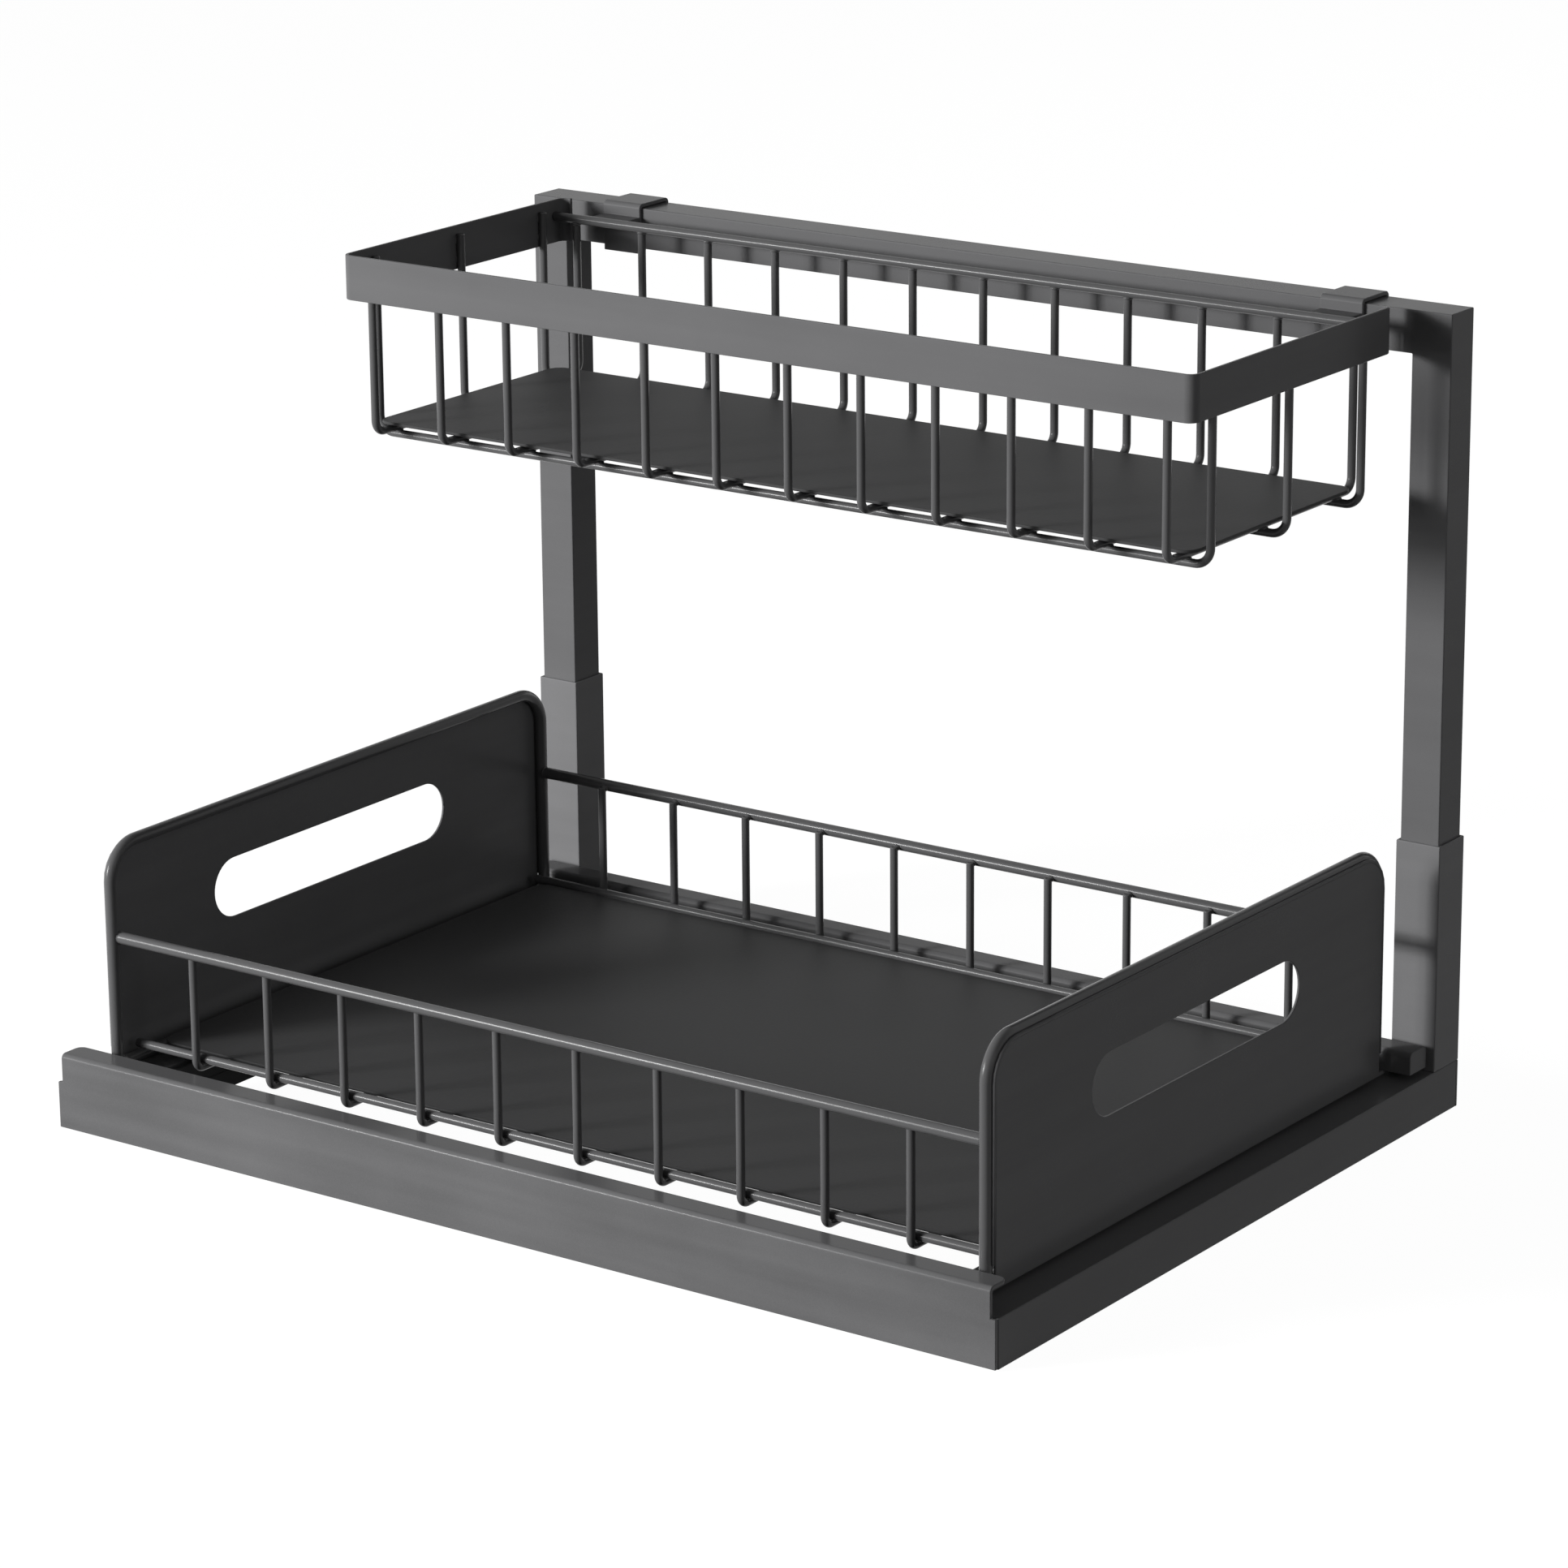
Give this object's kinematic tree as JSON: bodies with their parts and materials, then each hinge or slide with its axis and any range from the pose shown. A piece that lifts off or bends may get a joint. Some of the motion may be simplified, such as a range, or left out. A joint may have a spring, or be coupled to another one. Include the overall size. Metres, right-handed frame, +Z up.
{
  "type": "pull-out cabinet basket",
  "caption": "Two-tier cabinet basket: a sheet tray on ball slides carries a lift-out wire basket, and a shallow wire basket hooks over the beam of a rear frame.",
  "frame": {"origin": "centre of the footprint, on the floor", "axes": "+Z up, +Y towards the back posts, so the tray opens towards -Y; +X to the right seen from the front"},
  "size_m": [0.4, 0.3004, 0.2942],
  "materials": {
    "frame_coat": "satin dark grey powder coat",
    "sheet_coat": "satin dark grey powder coat",
    "wire_coat": "semi-gloss dark grey coat",
    "mat_rubber": "matte",
    "slide_zinc": "zinc plated",
    "plug_plastic": "matte"
  },
  "bodies": {
    "base": {"base_rail_left": "frame_coat", "base_rail_right": "frame_coat", "front_tie_bar": "frame_coat", "back_tie_bar": "frame_coat", "post_sleeve_left": "frame_coat", "post_sleeve_right": "frame_coat", "post_left": "frame_coat", "post_right": "frame_coat", "top_beam": "frame_coat", "rail_plugs": "plug_plastic", "slide_outer_left": "slide_zinc", "slide_outer_right": "slide_zinc", "rail_rivets": "slide_zinc"},
    "slide_middles": {"slide_middle_left": "slide_zinc", "slide_middle_right": "slide_zinc"},
    "outer_cages": {"outer_ball_cages": "slide_zinc"},
    "inner_cages": {"inner_ball_cages": "slide_zinc"},
    "tray": {"slide_inner_left": "slide_zinc", "slide_inner_right": "slide_zinc", "tray_rivets": "slide_zinc", "tray_front": "sheet_coat", "tray_side_left": "sheet_coat", "tray_side_right": "sheet_coat", "tray_back": "sheet_coat"},
    "lower_basket": {"side_hoop_left": "wire_coat", "side_hoop_right": "wire_coat", "side_panel_left": "sheet_coat", "side_panel_right": "sheet_coat", "front_rail_rod": "wire_coat", "back_rail_rod": "wire_coat", "front_floor_rod": "wire_coat", "back_floor_rod": "wire_coat", "lower_wires": "wire_coat", "lower_mat": "mat_rubber"},
    "upper_basket": {"rim_band": "sheet_coat", "upper_back_rod": "wire_coat", "hook_left": "sheet_coat", "hook_right": "sheet_coat", "upper_cross_wires": "wire_coat", "upper_long_wires": "wire_coat", "upper_mat": "mat_rubber"}
  },
  "joints": [
    {"name": "tray_slide", "type": "slide", "parent": "base", "child": "tray", "axis": [0, -1, 0], "range_m": [0, 0.24]},
    {"name": "slide_extension", "type": "slide", "parent": "base", "child": "slide_middles", "axis": [0, -1, 0], "range_m": [0, 0.12]},
    {"name": "outer_cage_roll", "type": "slide", "parent": "base", "child": "outer_cages", "axis": [0, -1, 0], "range_m": [0, 0.06]},
    {"name": "inner_cage_roll", "type": "slide", "parent": "base", "child": "inner_cages", "axis": [0, -1, 0], "range_m": [0, 0.18]},
    {"name": "lower_basket_lift", "type": "slide", "parent": "tray", "child": "lower_basket", "axis": [0, 0, 1], "range_m": [0, 0.1]},
    {"name": "upper_basket_lift", "type": "slide", "parent": "base", "child": "upper_basket", "axis": [0, 0, 1], "range_m": [0, 0.1]}
  ],
  "couplings": [
    {"joint": "slide_extension", "follows": "tray_slide", "ratio": 0.5},
    {"joint": "outer_cage_roll", "follows": "tray_slide", "ratio": 0.25},
    {"joint": "inner_cage_roll", "follows": "tray_slide", "ratio": 0.75}
  ]
}
